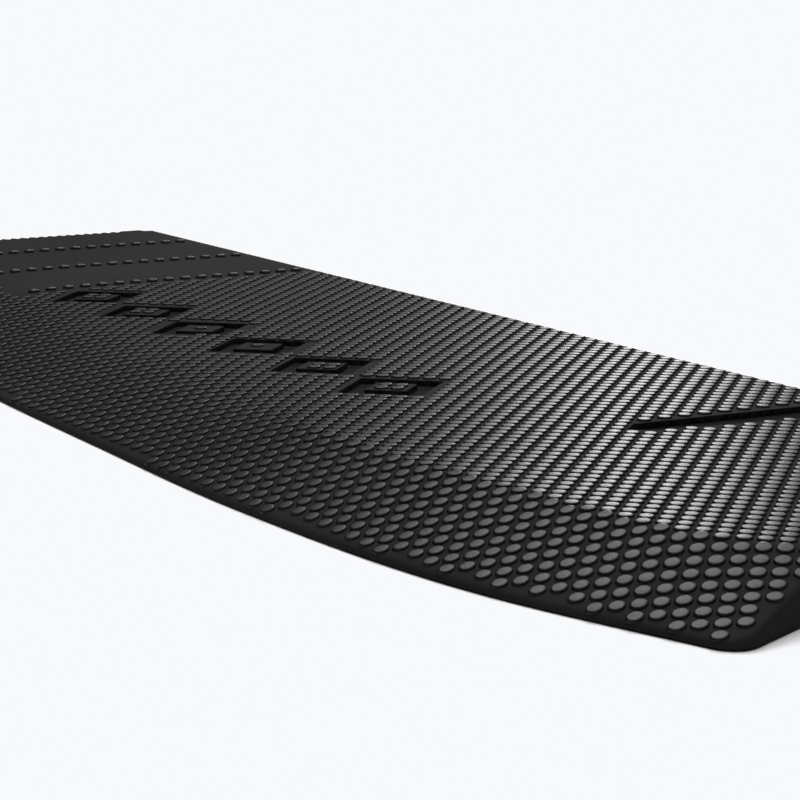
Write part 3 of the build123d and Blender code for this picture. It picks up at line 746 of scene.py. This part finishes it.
skin_vertices, skin_faces = pad_skin()
centres = np.array([np.mean([skin_vertices[i] for i in face], axis=0) for face in skin_faces])
# Faces of the mark and groove recesses, which take the darker rubber as painted shade.
shaded_recess_faces = (centres[:, 2] > PAD_UNDERSIDE + 0.01) & (recess_depth(centres[:, :2]) > 0.1)
shaded_recess_faces &= centres[:, 2] > STUD_POCKET[1] - 1.0
dots = dot_places()
toe_dots = dots[dots[:, 1] < TOE_DOTS_END]
middle_dots = dots[(dots[:, 1] >= TOE_DOTS_END) & (dots[:, 1] < MIDDLE_DOTS_END)]
heel_dots = dots[dots[:, 1] >= MIDDLE_DOTS_END]
DETAILS = [
    ("toe_dots", pucks(toe_dots, DOT_RADIUS, DOT_RINGS, DOT_SIDES)),
    ("middle_dots", pucks(middle_dots, DOT_RADIUS, DOT_RINGS, DOT_SIDES)),
    ("heel_dots", pucks(heel_dots, DOT_RADIUS, DOT_RINGS, DOT_SIDES)),
    ("heel_bumps", pucks(bump_places(), BUMP_RADIUS, BUMP_RINGS, BUMP_SIDES)),
]

for side in SIDES:
    body = side + "_pad"
    skin = make_object(side + "_pad_skin", to_frame(skin_vertices, side), facing(skin_faces, side),
                       PAD_RUBBER, SKIN_SMOOTH_ANGLE)
    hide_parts(side + "_footpad")
    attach(skin, body)
    # Recess faces get the darker rubber: painted shade where the recesses lie.
    skin.data.materials.append(RECESS_SHADE_RUBBER)
    for face, painted_shade in zip(skin.data.polygons, shaded_recess_faces):
        face.material_index = int(painted_shade)
    for name, (vertices, faces) in DETAILS:
        piece = make_object(side + "_pad_" + name, to_frame(vertices, side), facing(faces, side),
                            DOT_RUBBER, ROUND_SMOOTH_ANGLE)
        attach(piece, body)

# ---------------------------------------------------------------- heel cushions

CUSHION_BASE = 0.5
CUSHION_SIZE = (52.0, 44.0, 9.0)
# Each ring of the cushion: how far in it is drawn, and its height over the base.
CUSHION_RINGS = [(0.0, 0.0), (0.0, 2.6), (0.35, 3.5), (1.0, 4.0), (2.2, 4.2), (4.0, 4.22), (5.0, 3.95),
                 (6.0, 4.22), (9.0, 4.36), (12.0, 4.38), (13.0, 4.1), (14.0, 4.38)]


def pillow():
    """A moulded foam cushion: soft rim and two stitched channels round a crowned middle."""
    build = Builder()
    outline = rounded_rectangle(CUSHION_CENTRE, *CUSHION_SIZE)
    arm = outline - CUSHION_CENTRE
    half = np.array(CUSHION_SIZE[:2]) / 2
    loops = [CUSHION_CENTRE + arm * (1 - drawn / half) for drawn, _ in CUSHION_RINGS]
    for (lower, upper), low, high in zip(zip(loops, loops[1:]), CUSHION_RINGS, CUSHION_RINGS[1:]):
        for i in range(len(outline)):
            j = (i + 1) % len(outline)
            quad = [(*lower[i], low[1]), (*lower[j], low[1]), (*upper[j], high[1]), (*upper[i], high[1])]
            build.face([(x, y, CUSHION_BASE + z) for x, y, z in quad])
    build.face([(x, y, CUSHION_BASE + CUSHION_RINGS[-1][1]) for x, y in loops[-1]])
    build.face([(x, y, CUSHION_BASE) for x, y in loops[0][::-1]])
    return build.vertices, build.faces


cushion_vertices, cushion_faces = pillow()
for side in SIDES:
    cushion_piece = make_object(side + "_heel_cushion_foam", to_frame(cushion_vertices, side),
                                facing(cushion_faces, side), MATERIALS["cushion_foam"], ROUND_SMOOTH_ANGLE)
    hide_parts(side + "_heel_cushion")
    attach(cushion_piece, side + "_pad")

# ---------------------------------------------------------------- grab handle

HANDLE_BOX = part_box("grab_handle")
HANDLE_LOW, HANDLE_HIGH = (np.array(corner) / MM for corner in HANDLE_BOX)
FOOT_LENGTH = 38.0
FOOT_HALF_WIDTH = 15.0
FOOT_INNER_X = 68.0
SCREW_X = HANDLE_HIGH[0] - FOOT_LENGTH / 2
FOOT_HEIGHT = 6.0
FOOT_TOP = HANDLE_LOW[2] + FOOT_HEIGHT
# The grip's two faces, from a foot to the middle: distance from the middle, and height.
ARCH_TOP = np.array([(78.5, FOOT_TOP - 0.6), (44.0, HANDLE_HIGH[2] - 3.2), (0.0, HANDLE_HIGH[2] - 0.2)])
ARCH_UNDER = np.array([(69.5, HANDLE_LOW[2] + 0.05), (40.0, HANDLE_HIGH[2] - 12.8),
                       (0.0, HANDLE_HIGH[2] - 8.8)])
ARCH_HALF_WIDTH = 13.6
ARCH_WAIST = 1.6
ARCH_ROUNDNESS = 3.2
RIB_PITCH = 6.2
RIB_HALF_LENGTH = 44.0
RIB_DEPTH = 0.035
# Each ring of a foot: how far in it is drawn, and its height over the deck.
FOOT_RINGS = [(0.6, 0.0), (0.0, 0.6), (0.0, 4.6), (0.5, 5.5), (1.5, FOOT_HEIGHT)]
SEAT_DROP = 3.4
BORE_RADII = (8.2, 3.2)
BORE_SIDES = 40
END_STEPS = 25
HANDLE_SMOOTH_ANGLE = 40


def arch_line(points, at):
    """A smooth curve through mirrored points, sampled by share from the left end to the right one."""
    whole = np.vstack([points * (-1, 1), points[-2::-1]])
    curve = smooth_curve(whole, 0.5)
    length = np.concatenate([[0], np.cumsum(np.linalg.norm(np.diff(curve, axis=0), axis=1))])
    return np.stack([np.interp(at * length[-1], length, curve[:, k]) for k in (0, 1)], axis=1)


def handle_arch(sections=150, sides=36):
    """The bowed grip: a soft oblong section, waisted and ribbed where the hand closes."""
    at = np.linspace(0, 1, sections)
    top, under = arch_line(ARCH_TOP, at), arch_line(ARCH_UNDER, at)
    angles = np.arange(sides) * 2 * math.pi / sides
    across = np.sign(np.cos(angles)) * np.abs(np.cos(angles)) ** (2 / ARCH_ROUNDNESS)
    above = np.sign(np.sin(angles)) * np.abs(np.sin(angles)) ** (2 / ARCH_ROUNDNESS)
    vertices, faces = [], []
    for high, low in zip(top, under):
        middle, half = (high + low) / 2, (high - low) / 2
        grip = max(0.0, 1 - (middle[0] / RIB_HALF_LENGTH) ** 4)
        rib = 1 - RIB_DEPTH * grip * (1 + math.cos(2 * math.pi * middle[0] / RIB_PITCH))
        width = (ARCH_HALF_WIDTH - ARCH_WAIST * grip) * rib
        for a, b in zip(across, above):
            vertices.append((middle[0] + half[0] * b * rib, width * a, middle[1] + half[1] * b * rib))
    for section in range(sections - 1):
        for k in range(sides):
            n = (k + 1) % sides
            low, high = section * sides, (section + 1) * sides
            faces.append((low + k, high + k, high + n, low + n))
    faces.append(tuple(range(sides)))
    faces.append(tuple(range(len(vertices) - 1, len(vertices) - sides - 1, -1)))
    return vertices, faces


def handle_foot():
    """One bolted foot, with its counterbored screw hole."""
    end_x = HANDLE_HIGH[0] - FOOT_HALF_WIDTH
    angles = np.linspace(-math.pi / 2, math.pi / 2, END_STEPS)
    end = np.stack([end_x + FOOT_HALF_WIDTH * np.cos(angles), FOOT_HALF_WIDTH * np.sin(angles)], axis=1)
    outline = np.vstack([[(FOOT_INNER_X, -FOOT_HALF_WIDTH)], end, [(FOOT_INNER_X, FOOT_HALF_WIDTH)]])
    bore = circle((SCREW_X, 0.0), BORE_RADII[0], BORE_SIDES)
    hole = circle((SCREW_X, 0.0), BORE_RADII[1], BORE_SIDES)
    loops = [inset(outline, drawn) for drawn, _ in FOOT_RINGS]
    build = Builder()
    for lower, upper, low, high in zip(loops, loops[1:], FOOT_RINGS, FOOT_RINGS[1:]):
        for i in range(len(outline)):
            j = (i + 1) % len(outline)
            quad = [(*lower[i], low[1]), (*lower[j], low[1]), (*upper[j], high[1]), (*upper[i], high[1])]
            build.face([(x, y, HANDLE_LOW[2] + z) for x, y, z in quad])
    seat = FOOT_TOP - SEAT_DROP
    top, top_faces = fill_plane([loops[-1], bore], NO_POINTS, holes=[bore])
    build.sheet(top, top_faces, np.full(len(top), FOOT_TOP))
    build.wall(bore, np.full(len(bore), seat), np.full(len(bore), FOOT_TOP), outward=False)
    ledge, ledge_faces = fill_plane([bore, hole], NO_POINTS, holes=[hole])
    build.sheet(ledge, ledge_faces, np.full(len(ledge), seat))
    build.wall(hole, np.full(len(hole), HANDLE_LOW[2]), np.full(len(hole), seat), outward=False)
    under, under_faces = fill_plane([loops[0], hole], NO_POINTS, holes=[hole])
    build.sheet(under, under_faces, np.full(len(under), HANDLE_LOW[2]), up=False)
    return build.vertices, build.faces


handle_vertices, handle_faces = handle_arch()
foot_vertices, foot_faces = handle_foot()
for hand in (1, -1):
    first = len(handle_vertices)
    handle_vertices += [(hand * x, y, z) for x, y, z in foot_vertices]
    handle_faces += [tuple(first + i for i in (face if hand > 0 else face[::-1])) for face in foot_faces]
handle = make_object("grab_handle_moulding", np.array(handle_vertices) * MM, handle_faces,
                     MATERIALS["handle_tpu"], HANDLE_SMOOTH_ANGLE)
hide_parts("grab_handle")
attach(handle, "board")

# ---------------------------------------------------------------- studio

FLOOR_HALF = 30.0
WHITE = (0.938, 0.947, 0.966)
SHOULDER_START = 0.62
SHOULDER_END = 0.84
SKY_HORIZON = 0.05
SKY_TOP = 1.75
SIDE_AZIMUTH = 42.0
SIDE_ELEVATION = 46.0
SIDE_STRENGTH = 2.4
LOW_AZIMUTH = 19.0
LOW_ELEVATION = 45.0
LOW_STRENGTH = 5.4
KEY_AZIMUTH = 36.0
KEY_ELEVATION = 12.5
KEY_SPREAD = 4.0
KEY_STRENGTH = 0.135
# Each glow's angles in degrees: where it stops being full, and where it is gone.
OVERHEAD_FADE = (22.0, 50.0)
SIDE_FADE = (6.0, 26.0)
LOW_FADE = (3.0, 14.0)
FLOOR_COLOUR = (0.93, 0.93, 0.935, 1)
FLOOR_ROUGHNESS = 0.9
FLOOR_SPECULAR = 0.1
LIGHT_COLOUR = (1.0, 1.0, 1.0, 1)
BACKDROP_COLOUR = (0.9, 0.905, 0.91, 1)
scene = bpy.context.scene
turn = Matrix.Rotation(-DUCK_ANGLE, 3, "Z")
scene.view_settings.view_transform = "Standard"
scene.view_settings.look = "None"
scene.view_settings.use_curve_mapping = True
for channel, white in zip(scene.view_settings.curve_mapping.curves, WHITE):
    channel.points[1].location = (1.0, white)
    channel.points.new(SHOULDER_START, SHOULDER_START)
    channel.points.new(SHOULDER_END, white)
    for point in channel.points:
        point.handle_type = "VECTOR"
scene.view_settings.curve_mapping.extend = "HORIZONTAL"
scene.view_settings.curve_mapping.update()

floor_material, floor_nodes, _ = new_material("studio_floor")
floor_shader = floor_nodes["Principled BSDF"]
floor_shader.inputs["Base Color"].default_value = FLOOR_COLOUR
floor_shader.inputs["Roughness"].default_value = FLOOR_ROUGHNESS
floor_shader.inputs["Specular IOR Level"].default_value = FLOOR_SPECULAR
floor_corners = [(FLOOR_HALF * x, FLOOR_HALF * y, 0) for x, y in ((-1, -1), (1, -1), (1, 1), (-1, 1))]
floor = make_object("floor", floor_corners, [(0, 1, 2, 3)], floor_material)

world = bpy.data.worlds.new("studio")
scene.world = world
world.use_nodes = True
world_nodes, world_links = world.node_tree.nodes, world.node_tree.links
direction = world_nodes.new("ShaderNodeTexCoord")


def glow(towards, inner, outer, strength):
    """A round soft patch of light in the sky, full within one angle of its middle and gone at another."""
    dot = world_nodes.new("ShaderNodeVectorMath")
    dot.operation = "DOT_PRODUCT"
    world_links.new(direction.outputs["Generated"], dot.inputs[0])
    dot.inputs[1].default_value = towards
    fade = world_nodes.new("ShaderNodeMapRange")
    fade.interpolation_type = "SMOOTHSTEP"
    fade.inputs["From Min"].default_value = math.cos(math.radians(outer))
    fade.inputs["From Max"].default_value = math.cos(math.radians(inner))
    fade.inputs["To Min"].default_value = 0.0
    fade.inputs["To Max"].default_value = strength
    world_links.new(dot.outputs["Value"], fade.inputs["Value"])
    return fade.outputs["Result"]


def bearing(azimuth, elevation):
    """A direction given in the left pad's frame: azimuth from its heel towards the middle of the board."""
    azimuth, elevation = math.radians(azimuth), math.radians(elevation)
    flat = math.cos(elevation)
    return turn @ Vector((math.sin(azimuth) * flat, math.cos(azimuth) * flat, math.sin(elevation)))


def total(first, second):
    """The sum of a signal and another signal or number."""
    node = world_nodes.new("ShaderNodeMath")
    node.operation = "ADD"
    world_links.new(first, node.inputs[0])
    if isinstance(second, float):
        node.inputs[1].default_value = second
    else:
        world_links.new(second, node.inputs[1])
    return node.outputs["Value"]


overhead = glow(Vector((0, 0, 1)), *OVERHEAD_FADE, SKY_TOP)
side_box = glow(bearing(SIDE_AZIMUTH, SIDE_ELEVATION), *SIDE_FADE, SIDE_STRENGTH)
low_box = glow(bearing(LOW_AZIMUTH, LOW_ELEVATION), *LOW_FADE, LOW_STRENGTH)
sky_light = total(total(total(overhead, side_box), low_box), SKY_HORIZON)
soft_box = world_nodes["Background"]
soft_box.inputs["Color"].default_value = LIGHT_COLOUR
world_links.new(sky_light, soft_box.inputs["Strength"])
backdrop = world_nodes.new("ShaderNodeBackground")
backdrop.inputs["Color"].default_value = BACKDROP_COLOUR
path = world_nodes.new("ShaderNodeLightPath")
mixer = world_nodes.new("ShaderNodeMixShader")
world_links.new(path.outputs["Is Camera Ray"], mixer.inputs["Fac"])
world_links.new(soft_box.outputs["Background"], mixer.inputs[1])
world_links.new(backdrop.outputs["Background"], mixer.inputs[2])
world_links.new(mixer.outputs["Shader"], world_nodes["World Output"].inputs["Surface"])

# ---------------------------------------------------------------- camera

CAMERA_PLACE = (-207.0, -378.0, 78.3)
CAMERA_FORWARD = (0.49941, 0.84690, -0.18261)
CAMERA_RIGHT = (0.86179, -0.50724, 0.00442)
SENSOR_WIDTH = 36.0
FOCAL_LENGTH = 116.3
CLIP_START = 0.01
CLIP_END = 100.0

camera = bpy.data.objects.new("camera", bpy.data.cameras.new("camera"))
scene.collection.objects.link(camera)
scene.camera = camera
camera.data.sensor_width = SENSOR_WIDTH
camera.data.lens = FOCAL_LENGTH
camera.data.clip_start = CLIP_START
camera.data.clip_end = CLIP_END
forward = turn @ Vector(CAMERA_FORWARD).normalized()
right = turn @ Vector(CAMERA_RIGHT).normalized()
right = (right - forward * right.dot(forward)).normalized()
up = right.cross(forward)
axes = Matrix((right, up, -forward)).transposed()
camera.matrix_world = Matrix.Translation(pad_matrix("left") @ Vector(CAMERA_PLACE)) @ axes.to_4x4()

# ---------------------------------------------------------------- sun

key = bpy.data.objects.new("key", bpy.data.lights.new("key", "SUN"))
scene.collection.objects.link(key)
key.data.energy = KEY_STRENGTH
key.data.angle = math.radians(KEY_SPREAD)
towards_key = bearing(KEY_AZIMUTH, KEY_ELEVATION)
key.rotation_euler = towards_key.to_track_quat("Z", "Y").to_euler()
